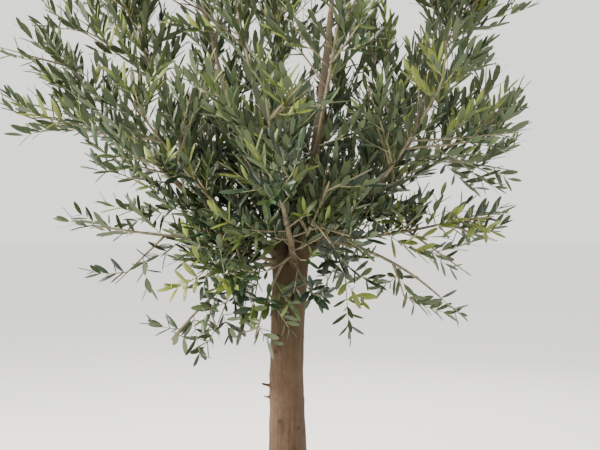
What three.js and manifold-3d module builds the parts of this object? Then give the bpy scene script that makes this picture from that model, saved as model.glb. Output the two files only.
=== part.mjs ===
// Potted olive tree: a standard olive on one clear stem in a plain round clay pot.
// Millimetres, +Z up, the origin at the centre of the pot's flat underside.
// The crown grows by one seeded rule: boughs leave the head of the trunk, each ends
// where its mass of foliage begins, and each mass is twigs with leaf sprays on a stem.

import * as THREE from 'three';
import { mergeVertices } from 'three/addons/utils/BufferGeometryUtils.js';
import Module from 'manifold-3d';

const wasm = await Module();
wasm.setup();

// ---- driving sizes ----

const GAP = 0.3;                 // clearance between pieces that touch

const POT_HEIGHT = 480;
const POT_FOOT_RADIUS = 204;
const POT_RIM_RADIUS = 290;
const POT_BAND_HEIGHT = 68;      // the thick rolled band under the rim
const POT_BAND_STEP = 12;        // how far the band stands out of the wall
const POT_WALL = 19;
const POT_FLOOR = 27;
const POT_SIDES = 44;
const SOIL_LEVEL = 438;

const TRUNK_SIDES = 14;
// height, lean to the right, radius: root flare, taper, and the swelling at the head
const TRUNK_RINGS = [
  [SOIL_LEVEL + GAP, 6, 78], [451, 6, 70], [476, 6, 64.5], [518, 5, 61], [600, 4, 57.5],
  [700, 2, 54.5], [860, -2, 52], [1000, -5, 50], [1130, -3, 49], [1215, 1, 50.5],
  [1262, 3, 50], [1300, 5, 42], [1332, 6, 24],
];

// The three lobes that the trunk ends in. Angles in degrees: azimuth from +X towards +Y
// (+Y is the far side), rise above the horizontal. A pair is the heading at each end.
const LOBE_STEPS = 6;
const LOBES = {
  left_lobe: { start: [-2, -8, 1225], azimuth: [186, 180], rise: [84, 78], length: 185, butt: 84, tip: 50 },
  right_lobe: { start: [10, -4, 1225], azimuth: [-8, -8], rise: [84, 77], length: 207, butt: 88, tip: 58 },
  back_lobe: { start: [4, 12, 1225], azimuth: [95, 95], rise: [82, 76], length: 178, butt: 84, tip: 50 },
};

// Two dead twigs on the left of the stem: from, to, radius at each end
const STUBS = [
  { from: [-38, -14, 978], to: [-79, -27, 990], butt: 3.2, tip: 1.7 },
  { from: [-40, -10, 944], to: [-74, -20, 952], butt: 2.8, tip: 1.5 },
];

// One row per bough and its mass: where on its parent it starts, its heading at both
// ends, its length and diameters, then how far its mass reaches, how wide it spreads,
// how much it turns up, and how many twigs it has.
const row = (parent, at, azimuth, rise, length, butt, tip, reach, spread, curl = 18, twigs = 5) => (
  { parent, at, azimuth, rise, length, butt, tip, reach, spread, curl, twigs });
const BOUGHS = {
  leader: row('right_lobe', 0.82, [10, 30], [80, 84], 680, 36, 17, 560, 305, 0),
  right_bough: row('right_lobe', 0.59, [8, 16], [32, 72], 700, 30, 14, 520, 285, 6),
  right_side: row('right_bough', 0.50, [-14, -8], [16, 24], 60, 15, 12, 400, 255),
  right_low: row('right_bough', 0.16, [-24, -14], [-8, 6], 110, 15, 11, 430, 205, 14, 4),
  right_top: row('right_bough', 0.66, [150, 128], [56, 66], 90, 14, 11, 430, 250, 8, 4),
  front_right: row('right_bough', 0.24, [-54, -48], [28, 44], 190, 18, 12, 520, 285, 14),
  left_bough: row('left_lobe', 0.74, [186, 184], [26, 46], 430, 28, 15, 590, 270, 8),
  left_upper: row('left_bough', 0.45, [172, 176], [58, 68], 370, 18, 12, 550, 305, 4),
  left_top: row('left_lobe', 0.94, [176, 166], [68, 74], 550, 26, 13, 540, 305, 5),
  left_low: row('left_bough', 0.22, [214, 200], [-6, 4], 130, 14, 11, 430, 195, 8, 4),
  droop_left: row('left_lobe', 0.58, [204, 194], [10, -38], 150, 14, 11, 340, 118, -16, 4),
  droop_front: row('right_lobe', 0.69, [-112, -150], [10, -60], 90, 13, 11, 300, 105, -20, 4),
  droop_right: row('right_lobe', 0.88, [-24, -12], [2, -18], 170, 14, 11, 370, 122, -34, 4),
  front_bough: row('right_lobe', 0.45, [-95, -98], [26, 38], 240, 24, 13, 560, 290, 16),
  front_left: row('left_lobe', 0.70, [-138, -142], [24, 40], 230, 20, 12, 540, 285, 14),
  front_shoot: row('right_lobe', 0.89, [226, 214], [58, 76], 430, 16, 11, 540, 290, 0),
  front_top: row('leader', 0.30, [-84, -76], [34, 52], 240, 18, 12, 530, 290, 14),
  back_bough: row('back_lobe', 0.64, [90, 92], [28, 40], 240, 28, 14, 580, 290, 16),
  back_left: row('back_bough', 0.30, [150, 144], [34, 46], 240, 18, 12, 540, 285, 14),
  back_right: row('back_bough', 0.45, [30, 34], [34, 46], 230, 18, 12, 540, 285, 14),
  back_top: row('back_lobe', 0.90, [104, 92], [58, 64], 460, 26, 13, 540, 290, 8),
  back_right_top: row('back_top', 0.40, [28, 24], [46, 56], 150, 15, 11, 500, 270, 10, 4),
  back_left_top: row('left_top', 0.42, [118, 124], [42, 54], 160, 15, 11, 500, 270, 10, 4),
  heart_left: row('leader', 0.10, [182, 188], [30, 44], 70, 14, 11, 420, 240, 18, 4),
  heart_front: row('right_lobe', 0.73, [-84, -76], [14, 24], 90, 13, 11, 400, 225, 18, 4),
  heart_low: row('left_lobe', 0.62, [222, 228], [4, 14], 80, 13, 11, 380, 205, 18, 4),
  heart_back: row('back_lobe', 0.72, [60, 66], [14, 24], 90, 13, 11, 400, 225, 18, 4),
};
const LIMB_STEP = 110;           // length of one straight step of a bough
const BOUGH_SIDES = 6;
const STEM_STEPS = 4;

const STEM_SHARE = 0.72;         // a mass's stem runs this share of its reach
const STEM_TIP = 5.2;            // radius
const TWIG_BUTT = 3.9;
const TWIG_TIP = 3;
const TWIG_LIFT = 0.22;          // how strongly twigs turn up to the light
const CELL_GAP = 1.5;            // from a mass's last leaf to the border with its neighbour
const SPRAY_LENGTH = 158;
const SPRAY_WIDTH = 50;
const SPRAY_THICK = 7;
const SPRAY_WIDEST = 0.44;
const SPRAY_SINK = 1;            // how far its root lies behind the twig's own axis
const SPRAY_STEP = 80;           // between sprays along a twig
const SPRAY_LIFT = 0.35;
const SPRAY_ROOM = 50;           // least distance between the middles of two sprays
const STEM_SPRAYS = 4;
const FIRST_SEED = 1000;
const SEED_STEP = 37;

// ---- numbers and directions ----

const radians = THREE.MathUtils.degToRad;
const point = (x, y, z) => new THREE.Vector3(x, y, z);
const UP = point(0, 0, 1);

// Park and Miller's generator: the same seed always grows the same twigs
function seeded(seed) {
  let state = seed;
  return (low, high) => {
    state = (state * 16807) % 2147483647;
    return low + (high - low) * state / 2147483647;
  };
}

function heading(azimuth, rise) {
  const a = radians(azimuth);
  const r = radians(rise);
  return point(Math.cos(a) * Math.cos(r), Math.sin(a) * Math.cos(r), Math.sin(r));
}

// A centre line that turns evenly from one heading to another
function sweep(start, azimuth, rise, length, steps) {
  const line = [start.clone()];
  for (let i = 0; i < steps; i += 1) {
    const s = (i + 0.5) / steps;
    const towards = heading(azimuth[0] + (azimuth[1] - azimuth[0]) * s, rise[0] + (rise[1] - rise[0]) * s);
    line.push(line[i].clone().addScaledVector(towards, length / steps));
  }
  return line;
}

function along(line, share) {
  const x = Math.min(Math.max(share, 0), 1) * (line.length - 1);
  const i = Math.min(Math.floor(x), line.length - 2);
  return line[i].clone().lerp(line[i + 1], x - i);
}

const ahead = (line, share) => along(line, share + 0.05).sub(along(line, share - 0.05)).normalize();

// A level direction square to d, or +X under an upright one
function crosswise(d) {
  const flat = point(-d.y, d.x, 0);
  return flat.length() < 0.05 ? point(1, 0, 0).addScaledVector(d, -d.x).normalize() : flat.normalize();
}

const turned = (v, axis, degrees) => v.clone().applyAxisAngle(axis, radians(degrees));

// ---- solids ----

function solid(geometry) {
  geometry.deleteAttribute('normal');
  geometry.deleteAttribute('uv');
  const joined = mergeVertices(geometry, 1e-4);
  return new wasm.Manifold(new wasm.Mesh({
    numProp: 3,
    vertProperties: new Float32Array(joined.attributes.position.array),
    triVerts: new Uint32Array(joined.index.array),
  }));
}

function geometryOf(body) {
  const mesh = body.getMesh();
  const indexed = new THREE.BufferGeometry();
  indexed.setAttribute('position', new THREE.BufferAttribute(new Float32Array(mesh.vertProperties), 3));
  indexed.setIndex(new THREE.BufferAttribute(new Uint32Array(mesh.triVerts), 1));
  const faceted = indexed.toNonIndexed();
  faceted.computeVertexNormals();
  return faceted;
}

function largest(body) {
  let best = null;
  for (const piece of body.decompose()) {
    if (best === null || piece.volume() > best.volume()) best = piece;
  }
  return best;
}

// A closed tube along a centre line with one radius per ring: a capped cylinder whose
// rings are set square to the line. The end rings may be given their own facing.
function tube(line, radii, sides, first = null, last = null) {
  const steps = line.length - 1;
  const geometry = new THREE.CylinderGeometry(1, 1, 1, sides, steps);
  const towards = line.map((p, i) => (
    line[Math.min(i + 1, steps)].clone().sub(line[Math.max(i - 1, 0)]).normalize()));
  if (first) towards[0] = first;
  if (last) towards[steps] = last;
  const side = [];
  for (let i = 0; i <= steps; i += 1) {
    const before = i === 0 ? crosswise(towards[0]) : side[i - 1];
    side.push(before.clone().addScaledVector(towards[i], -before.dot(towards[i])).normalize());
  }
  const position = geometry.attributes.position;
  const p = point(0, 0, 0);
  for (let v = 0; v < position.count; v += 1) {
    const i = Math.round((position.getY(v) + 0.5) * steps);
    const other = side[i].clone().cross(towards[i]);
    p.copy(line[i]);
    p.addScaledVector(side[i], position.getX(v) * radii[i]);
    p.addScaledVector(other, position.getZ(v) * radii[i]);
    position.setXYZ(v, p.x, p.y, p.z);
  }
  return solid(geometry);
}

// Radii of an even taper from butt to tip, both diameters
const tapered = (limb) => limb.line.map((p, i) => (
  (limb.butt + (limb.tip - limb.butt) * i / (limb.line.length - 1)) / 2));

// What a neighbour must stay clear of: a tube grown by the gap on its flats and its ends
function grownTube(line, radii, sides) {
  const longer = line.map((p) => p.clone());
  const end = longer.length - 1;
  longer[0].addScaledVector(line[1].clone().sub(line[0]).normalize(), -GAP);
  longer[end].addScaledVector(line[end].clone().sub(line[end - 1]).normalize(), GAP);
  return tube(longer, radii.map((r) => r + GAP * 1.4 / Math.cos(Math.PI / sides)), sides);
}

// A closed turned shape from its outline, radius and height pairs from the axis and back
function turnedShape(outline, sides) {
  return solid(new THREE.LatheGeometry(outline.map(([r, z]) => new THREE.Vector2(r, z)), sides)
    .rotateX(Math.PI / 2));
}

// ---- limbs ----

const limbs = {};
for (const [name, lobe] of Object.entries(LOBES)) {
  limbs[name] = { ...lobe, line: sweep(point(...lobe.start), lobe.azimuth, lobe.rise, lobe.length, LOBE_STEPS) };
}
for (const [name, bough] of Object.entries(BOUGHS)) {
  const start = along(limbs[bough.parent].line, bough.at);
  const steps = Math.max(2, Math.round(bough.length / LIMB_STEP));
  limbs[name] = { ...bough, line: sweep(start, bough.azimuth, bough.rise, bough.length, steps) };
}
const trunkLine = TRUNK_RINGS.map(([z, x]) => point(x, 0, z));

// Everything that a twig or spray keeps clear of, as straight lengths with their radii
const lengths = [];
function addLengths(owner, line, radii) {
  for (let i = 0; i + 1 < line.length; i += 1) {
    lengths.push({ owner, from: line[i], to: line[i + 1], start: radii[i], end: radii[i + 1] });
  }
}
addLengths('trunk', trunkLine, TRUNK_RINGS.map((ring) => ring[2]));
for (const [name, limb] of Object.entries(limbs)) addLengths(name, limb.line, tapered(limb));

// ---- masses ----

// A mass fills an ellipsoid about its own stem, less what lies nearer to a neighbour
const masses = {};
for (const [name, bough] of Object.entries(BOUGHS)) {
  const { azimuth: [, turn], rise: [, rise], reach, curl } = bough;
  const tip = limbs[name].line.at(-1);
  const root = tip.clone().addScaledVector(heading(turn, rise), GAP);
  const whole = sweep(root, [turn, turn], [rise, rise + curl], reach, STEM_STEPS);
  const stem = sweep(root, [turn, turn], [rise, rise + curl * 0.75], reach * STEM_SHARE, STEM_STEPS);
  const end = whole[STEM_STEPS];
  masses[name] = {
    stem,
    radii: stem.map((p, i) => bough.tip / 2 + (STEM_TIP - bough.tip / 2) * i / STEM_STEPS),
    facing: heading(turn, rise),
    centre: root.clone().lerp(end, 0.5),
    axis: end.clone().sub(root).normalize(),
    half: end.distanceTo(root) / 2 * 1.02,
    spread: bough.spread,
    twigs: bough.twigs,
  };
  addLengths(`${name}_stem`, stem, masses[name].radii);
}

function inside(mass, p, share = 1) {
  const from = p.clone().sub(mass.centre);
  const a = from.dot(mass.axis);
  const across = from.lengthSq() - a * a;
  if ((a / (mass.half * share)) ** 2 + across / (mass.spread * share) ** 2 > 1) return false;
  for (const other of Object.values(masses)) {
    if (other === mass) continue;
    const lead = from.lengthSq() - mass.spread ** 2 - p.distanceToSquared(other.centre) + other.spread ** 2;
    if (lead > -2 * CELL_GAP * mass.centre.distanceTo(other.centre)) return false;
  }
  return true;
}

// Least distance between two straight lengths, and where on the second it falls
function between(a0, a1, b0, b1) {
  const u = a1.clone().sub(a0);
  const v = b1.clone().sub(b0);
  const w = a0.clone().sub(b0);
  const uu = u.dot(u);
  const uv = u.dot(v);
  const vv = v.dot(v);
  const uw = u.dot(w);
  const vw = v.dot(w);
  const det = uu * vv - uv * uv;
  let s = det > 1e-9 * uu * vv ? THREE.MathUtils.clamp((uv * vw - vv * uw) / det, 0, 1) : 0;
  let t = (uv * s + vw) / vv;
  if (t < 0 || t > 1) {
    t = THREE.MathUtils.clamp(t, 0, 1);
    s = THREE.MathUtils.clamp((uv * t - uw) / uu, 0, 1);
  }
  const nearest = a0.clone().addScaledVector(u, s);
  return [nearest.distanceTo(b0.clone().addScaledVector(v, t)), t];
}

function clearOfLimbs(owner, from, to, room) {
  for (const l of lengths) {
    if (l.owner === owner) continue;
    const [distance, t] = between(from, to, l.from, l.to);
    if (distance < l.start + (l.end - l.start) * t + room) return false;
  }
  return true;
}

// The flat sprays of one mass; each keeps clear of limbs and of the sprays before it
function addSpray(mass, name, root, towards, length, draw) {
  const roll = draw(0, 360);
  for (const share of [1, 0.8, 0.62]) {
    const size = length * share;
    const tip = root.clone().addScaledVector(towards, size);
    const middle = root.clone().addScaledVector(towards, size * SPRAY_WIDEST);
    const side = turned(crosswise(towards), towards, roll);
    const half = SPRAY_WIDTH / 2 * share;
    const corners = [tip, middle.clone().addScaledVector(side, half), middle.clone().addScaledVector(side, -half)];
    const early = root.clone().addScaledVector(towards, 25);
    if (corners.every((corner) => inside(mass, corner)) && clearOfLimbs(`${name}_stem`, early, tip, half)
      && clearOfLimbs('', middle, tip, half)
      && mass.sprays.every((other) => other.middle.distanceTo(middle) > SPRAY_ROOM)) {
      mass.sprays.push({ root, tip, middle, side, half, towards, size });
      return;
    }
  }
}

function grow(name, seed) {
  const mass = masses[name];
  const own = `${name}_stem`;
  const draw = seeded(seed);
  mass.sprays = [];
  mass.twigLines = [];
  let turn = draw(0, 360);
  for (let i = 0; i < mass.twigs; i += 1) {
    const share = 0.06 + 0.9 * (i + 0.5) / mass.twigs;
    const base = along(mass.stem, share);
    const onward = ahead(mass.stem, share);
    turn += 137.5 + draw(-15, 15);
    const side = turned(crosswise(onward), onward, turn);
    const lean = radians(draw(48, 62));
    const towards = onward.clone().multiplyScalar(Math.cos(lean)).addScaledVector(side, Math.sin(lean))
      .addScaledVector(UP, TWIG_LIFT).normalize();
    let length = mass.spread * draw(0.75, 1.05);
    let line = null;
    for (let attempt = 0; attempt < 5 && line === null; attempt += 1) {
      const tip = base.clone().addScaledVector(towards, length);
      const middle = base.clone().lerp(tip, 0.5).addScaledVector(side, -0.06 * length).addScaledVector(UP, -0.05 * length);
      const early = base.clone().lerp(middle, 0.25);
      if (inside(mass, tip, 0.92) && inside(mass, middle) && inside(mass, early)
        && clearOfLimbs(own, early, middle, TWIG_BUTT + 1) && clearOfLimbs(own, middle, tip, TWIG_BUTT + 1)) {
        line = [base, middle, tip];
      } else {
        length *= 0.78;
      }
    }
    if (line === null) continue;
    mass.twigLines.push(line);
    const last = line[2].clone().sub(line[1]).normalize();
    const count = Math.max(2, Math.round(length / SPRAY_STEP));
    for (let k = 0; k < count; k += 1) {
      const root = along(line, 0.18 + 0.72 * (k + draw(0.2, 0.8)) / count);
      const across = turned(crosswise(last), last, 180 * k + draw(-60, 60) + turn);
      const spread = radians(draw(32, 52));
      const way = last.clone().multiplyScalar(Math.cos(spread)).addScaledVector(across, Math.sin(spread))
        .addScaledVector(UP, SPRAY_LIFT).normalize();
      addSpray(mass, name, root, way, SPRAY_LENGTH * draw(0.8, 1.12), draw);
    }
    const end = last.clone().addScaledVector(UP, SPRAY_LIFT).normalize();
    addSpray(mass, name, line[2].clone().addScaledVector(last, -4), end, SPRAY_LENGTH * draw(0.8, 1.1), draw);
  }
  for (let k = 0; k < STEM_SPRAYS; k += 1) {
    const share = 0.1 + 0.85 * (k + 0.5) / STEM_SPRAYS;
    const onward = ahead(mass.stem, share);
    const across = turned(crosswise(onward), onward, draw(0, 360));
    const lean = radians(draw(35, 60));
    const way = onward.clone().multiplyScalar(Math.cos(lean)).addScaledVector(across, Math.sin(lean))
      .addScaledVector(UP, SPRAY_LIFT).normalize();
    addSpray(mass, name, along(mass.stem, share), way, SPRAY_LENGTH * draw(0.8, 1.1), draw);
  }
  const onward = ahead(mass.stem, 1);
  addSpray(mass, name, mass.stem[STEM_STEPS].clone().addScaledVector(onward, -4), onward, SPRAY_LENGTH * 1.05, draw);
}

// A spray: a thin eight-sided leaf shape whose root lies inside the twig it grows on
function spraySolid({ root, side, half, towards, size }) {
  const geometry = new THREE.OctahedronGeometry(1);
  const face = side.clone().cross(towards);
  const position = geometry.attributes.position;
  const p = point(0, 0, 0);
  for (let v = 0; v < position.count; v += 1) {
    const t = position.getY(v);
    const reach = t > 0.5 ? 1 : (t < -0.5 ? 0 : SPRAY_WIDEST);
    p.copy(root).addScaledVector(towards, reach * (size + SPRAY_SINK) - SPRAY_SINK);
    p.addScaledVector(side, position.getX(v) * half);
    p.addScaledVector(face, position.getZ(v) * SPRAY_THICK / 2);
    position.setXYZ(v, p.x, p.y, p.z);
  }
  return solid(geometry);
}

// ---- the pieces ----

const part = new THREE.Group();
part.name = 'potted_olive_tree';

const COATS = {
  clay: new THREE.MeshStandardMaterial({ color: 0xb4694a, roughness: 0.9, metalness: 0 }),
  soil: new THREE.MeshStandardMaterial({ color: 0x3b2c21, roughness: 1, metalness: 0 }),
  bark: new THREE.MeshStandardMaterial({ color: 0x8a7460, roughness: 0.85, metalness: 0 }),
  twig: new THREE.MeshStandardMaterial({ color: 0x7d6e5c, roughness: 0.8, metalness: 0 }),
  leaf: new THREE.MeshStandardMaterial({ color: 0x566b3c, roughness: 0.55, metalness: 0 }),
};

function add(name, body, coat) {
  const mesh = new THREE.Mesh(geometryOf(body), COATS[coat].clone());
  mesh.name = name;
  part.add(mesh);
}

const wallSlope = (POT_RIM_RADIUS - POT_BAND_STEP - POT_FOOT_RADIUS) / (POT_HEIGHT - POT_BAND_HEIGHT);
const wallRadius = (z) => POT_FOOT_RADIUS + wallSlope * z;
const innerRadius = (z) => wallRadius(z) - POT_WALL;

add('pot', turnedShape([
  [0, 0],
  [POT_FOOT_RADIUS - 5, 0],
  [wallRadius(6), 6],
  [wallRadius(POT_HEIGHT - POT_BAND_HEIGHT - 8), POT_HEIGHT - POT_BAND_HEIGHT - 8],
  [POT_RIM_RADIUS - 3, POT_HEIGHT - POT_BAND_HEIGHT],
  [POT_RIM_RADIUS, POT_HEIGHT - POT_BAND_HEIGHT + 5],
  [POT_RIM_RADIUS, POT_HEIGHT - 6],
  [POT_RIM_RADIUS - 5, POT_HEIGHT],
  [innerRadius(POT_HEIGHT) + 5, POT_HEIGHT],
  [innerRadius(POT_HEIGHT - 5), POT_HEIGHT - 5],
  [innerRadius(POT_FLOOR), POT_FLOOR],
  [0, POT_FLOOR],
], POT_SIDES), 'clay');

const soilGap = GAP / Math.cos(Math.PI / POT_SIDES) * Math.hypot(1, wallSlope);
add('soil', turnedShape([
  [0, POT_FLOOR + GAP],
  [innerRadius(POT_FLOOR + GAP) - soilGap, POT_FLOOR + GAP],
  [innerRadius(SOIL_LEVEL) - soilGap, SOIL_LEVEL],
  [0, SOIL_LEVEL],
], POT_SIDES), 'soil');

// The trunk runs up into three short lobes with rounded tops, and keeps two dead stubs
const trunkRadii = TRUNK_RINGS.map((ring) => ring[2]);
let trunk = tube(trunkLine, trunkRadii, TRUNK_SIDES, UP);
let trunkGrown = grownTube(trunkLine, trunkRadii, TRUNK_SIDES);
const DOME = [1, 1, 1, 1, 0.93, 0.76, 0.36];
for (const name of Object.keys(LOBES)) {
  const radii = tapered(limbs[name]).map((r, i) => r * DOME[i]);
  trunk = trunk.add(tube(limbs[name].line, radii, 10));
  trunkGrown = trunkGrown.add(grownTube(limbs[name].line, radii, 10));
}
for (const stub of STUBS) {
  trunk = trunk.add(tube([point(...stub.from), point(...stub.to)], [stub.butt, stub.tip], 5));
}
add('trunk', largest(trunk), 'bark');

// Each bough starts on its parent's axis and is cut clear of the trunk and earlier boughs
let earlier = trunkGrown;
for (const name of Object.keys(BOUGHS)) {
  const { line } = limbs[name];
  const radii = tapered(limbs[name]);
  const body = tube(line, radii, BOUGH_SIDES, null, masses[name].facing).subtract(earlier);
  earlier = earlier.add(grownTube(line, radii, BOUGH_SIDES));
  add(`${name}_limb`, largest(body), 'bark');
}

Object.keys(BOUGHS).forEach((name, k) => {
  grow(name, FIRST_SEED + SEED_STEP * k);
  const mass = masses[name];
  const bodies = [tube(mass.stem, mass.radii, 5, mass.facing)];
  for (const line of mass.twigLines) {
    bodies.push(tube(line, [TWIG_BUTT, (TWIG_BUTT + TWIG_TIP) / 2, TWIG_TIP], 3));
  }
  for (const spray of mass.sprays) bodies.push(spraySolid(spray));
  add(`${name}_foliage`, largest(wasm.Manifold.union(bodies)), 'leaf');
});

export default part;
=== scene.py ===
"""Potted olive tree: a standard olive on one clear stem, in a plain round clay pot."""

import math

import bmesh
import bpy
import numpy as np
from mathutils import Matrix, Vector, noise


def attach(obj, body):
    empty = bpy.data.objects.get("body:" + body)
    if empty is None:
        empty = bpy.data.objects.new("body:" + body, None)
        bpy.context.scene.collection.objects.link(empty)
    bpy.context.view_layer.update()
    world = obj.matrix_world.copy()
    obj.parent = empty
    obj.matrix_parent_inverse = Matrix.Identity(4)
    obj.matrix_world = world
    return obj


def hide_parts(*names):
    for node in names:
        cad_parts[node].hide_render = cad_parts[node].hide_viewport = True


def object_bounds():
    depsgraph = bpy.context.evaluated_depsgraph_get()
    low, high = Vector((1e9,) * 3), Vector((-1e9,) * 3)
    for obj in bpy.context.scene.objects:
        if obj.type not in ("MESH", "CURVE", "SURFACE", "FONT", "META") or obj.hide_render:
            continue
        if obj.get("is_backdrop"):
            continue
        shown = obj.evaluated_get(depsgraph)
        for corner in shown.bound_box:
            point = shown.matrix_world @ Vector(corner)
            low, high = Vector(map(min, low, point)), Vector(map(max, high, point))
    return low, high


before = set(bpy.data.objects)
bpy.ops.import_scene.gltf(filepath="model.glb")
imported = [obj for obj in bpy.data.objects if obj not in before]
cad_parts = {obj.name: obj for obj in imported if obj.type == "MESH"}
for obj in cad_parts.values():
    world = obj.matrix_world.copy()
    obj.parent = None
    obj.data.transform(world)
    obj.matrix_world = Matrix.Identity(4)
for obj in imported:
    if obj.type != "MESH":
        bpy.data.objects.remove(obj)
cad_low, cad_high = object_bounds()
bpy.ops.object.select_all(action="DESELECT")

# The pot: a plain flower pot of red earthenware, turned on a wheel, with a thick band rolled
# round its rim. It was fired without a glaze and stands on its flat foot.
MM = 0.001
POT_HEIGHT = 480
POT_FOOT_RADIUS = 204
POT_RIM_RADIUS = 290
POT_BAND_HEIGHT = 68
POT_BAND_STEP = 12
POT_WALL = 19
POT_FLOOR = 27
POT_SIDES = 128
RIDGE_STEP = 23
RIDGE_HEIGHT = 0.7
RIDGES_FROM = 14
EDGE_ROUND = 2.2
WALL_SLOPE = (POT_RIM_RADIUS - POT_BAND_STEP - POT_FOOT_RADIUS) / (POT_HEIGHT - POT_BAND_HEIGHT)


def wall_radius(z):
    return POT_FOOT_RADIUS + WALL_SLOPE * z


def pick(piece, kind, test):
    """Leaves a piece in edit mode with only the faces or edges selected that pass a test."""
    bpy.ops.object.mode_set(mode="EDIT")
    bpy.ops.mesh.select_mode(type=kind)
    bpy.ops.mesh.select_all(action="DESELECT")
    body = bmesh.from_edit_mesh(piece.data)
    for part in body.faces if kind == "FACE" else body.edges:
        if test(part):
            part.select_set(True)
    bmesh.update_edit_mesh(piece.data)


def turn_up(outline):
    """Draws the selected round face on through rings of a radius and a height, in mm."""
    for (radius, height), (wider, higher) in zip(outline, outline[1:]):
        rise = (higher - height) * MM
        bpy.ops.mesh.extrude_region_move(TRANSFORM_OT_translate={"value": (0, 0, rise)})
        grow = wider / radius
        bpy.ops.transform.resize(value=(grow, grow, 1), center_override=(0, 0, higher * MM))


def finish_piece(piece, name, nodes, materials):
    """Names a finished piece, gives it its materials and tells the frame what it stands for."""
    piece.name = name
    piece.data.name = name
    for material in materials:
        piece.data.materials.append(material)
    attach(piece, "root")
    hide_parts(*nodes)
    bpy.ops.object.select_all(action="DESELECT")


band_foot = POT_HEIGHT - POT_BAND_HEIGHT
outside = [(POT_FOOT_RADIUS - 5, 2)]
outside += [(wall_radius(z), z) for z in (7, RIDGES_FROM)]
for k in range(1, 2 * int((band_foot - 24) / RIDGE_STEP)):
    z = RIDGES_FROM + k * RIDGE_STEP / 2
    outside.append((wall_radius(z) + RIDGE_HEIGHT * math.cos(math.pi * k), z))
outside += [
    (wall_radius(band_foot - 8), band_foot - 8),
    (POT_RIM_RADIUS - 4, band_foot - 1),
    (POT_RIM_RADIUS, band_foot + 5),
    (POT_RIM_RADIUS + 0.8, band_foot + 24),
    (POT_RIM_RADIUS + 0.8, POT_HEIGHT - 24),
    (POT_RIM_RADIUS, POT_HEIGHT - 6),
    (POT_RIM_RADIUS - 5, POT_HEIGHT),
    (wall_radius(POT_HEIGHT) - POT_WALL + 5, POT_HEIGHT + 0.01),
    (wall_radius(POT_HEIGHT - 5) - POT_WALL, POT_HEIGHT - 5),
    (wall_radius(240) - POT_WALL, 240),
    (wall_radius(POT_FLOOR) - POT_WALL, POT_FLOOR),
]
bpy.ops.mesh.primitive_cylinder_add(
    vertices=POT_SIDES, radius=(POT_FOOT_RADIUS - 5) * MM, depth=2 * MM, location=(0, 0, MM))
pot = bpy.context.object
bpy.ops.object.transform_apply()
pick(pot, "FACE", lambda face: face.normal.z > 0.9)
turn_up(outside)


def on_pot_edge(edge):
    """True on the rings where the pot's outline turns sharply."""
    heights = [v.co.z / MM for v in edge.verts]
    turns = (2, band_foot - 8, band_foot - 1, POT_HEIGHT - 6, POT_HEIGHT, POT_HEIGHT - 5, POT_FLOOR)
    return abs(heights[0] - heights[1]) < 0.05 and min(abs(heights[0] - t) for t in turns) < 0.05


pick(pot, "EDGE", on_pot_edge)
bpy.ops.mesh.bevel(offset=EDGE_ROUND * MM, segments=3, affect="EDGES", clamp_overlap=True)
bpy.ops.mesh.select_all(action="SELECT")
bpy.ops.mesh.normals_make_consistent(inside=False)
bpy.ops.object.mode_set(mode="OBJECT")
bpy.ops.object.shade_smooth_by_angle(angle=math.radians(50))


def linear(colour):
    """Turns an sRGB hex colour into linear values."""
    parts = [int(colour[i:i + 2], 16) / 255 for i in (0, 2, 4)]
    return [v / 12.92 if v <= 0.04045 else ((v + 0.055) / 1.055) ** 2.4 for v in parts] + [1]


def new_finish(name, sockets):
    """Starts a material with its shader's own values, and gives its node tree and shader too."""
    material = bpy.data.materials.new(name)
    material.use_nodes = True
    shader = material.node_tree.nodes["Principled BSDF"]
    for key, value in sockets.items():
        shader.inputs[key].default_value = value
    return material, material.node_tree, shader


def scale_for(size):
    """A texture's scale, from how many mm across the real thing's patches or grains are."""
    return 1000 / size


def add_node(tree, kind, values=None, links=None, stops=None, **settings):
    """Adds a node with its settings, its socket values, what is plugged in, and its ramp."""
    node = tree.nodes.new(kind)
    for key, value in settings.items():
        setattr(node, key, value)
    for key, value in (values or {}).items():
        node.inputs[key].default_value = value
    for key, (source, output) in (links or {}).items():
        tree.links.new(source.outputs[output], node.inputs[key])
    for k, (place, colour) in enumerate(stops or []):
        ramp = node.color_ramp.elements
        stop = ramp[k] if k < 2 else ramp.new(place)
        stop.position = place
        stop.color = linear(colour)
    return node


# Unglazed earthenware: iron makes it red, the fire leaves it cloudy, lime salts bloom pale on
# the outside where water dries, and the foot stays darker with damp. It is dull and gritty.
# Its patterns' sizes are in mm, and the grit is drawn coarser than it is so that it shows.
FIRE_CLOUD, SALT_PATCH, GRIT = 90.9, 41.7, 3.03
DAMP_TOP = 0.07
terracotta, tree, shader = new_finish("unglazed_earthenware", {"Roughness": 0.88, "IOR": 1.5})
place = add_node(tree, "ShaderNodeTexCoord")
clouds = add_node(
    tree, "ShaderNodeTexNoise", {"Scale": scale_for(FIRE_CLOUD), "Detail": 4.0, "Roughness": 0.6},
    {"Vector": (place, "Object")})
fired = add_node(
    tree, "ShaderNodeValToRGB", links={"Fac": (clouds, "Fac")},
    stops=[(0.30, "5C2A14"), (0.72, "834A27"), (0.50, "6E371C")])
drips = add_node(
    tree, "ShaderNodeMapping", {"Scale": (1.0, 1.0, 0.35)}, {"Vector": (place, "Object")})
salts = add_node(
    tree, "ShaderNodeTexNoise", {"Scale": scale_for(SALT_PATCH), "Detail": 6.0, "Roughness": 0.68},
    {"Vector": (drips, "Vector")})
height = add_node(tree, "ShaderNodeSeparateXYZ", links={"Vector": (place, "Object")})
low_down = add_node(
    tree, "ShaderNodeMapRange",
    {"From Min": 0.02, "From Max": 0.40, "To Min": 0.13, "To Max": -0.02}, {"Value": (height, "Z")})
bloom_sum = add_node(
    tree, "ShaderNodeMath", links={0: (salts, "Fac"), 1: (low_down, "Result")}, operation="ADD")
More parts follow.
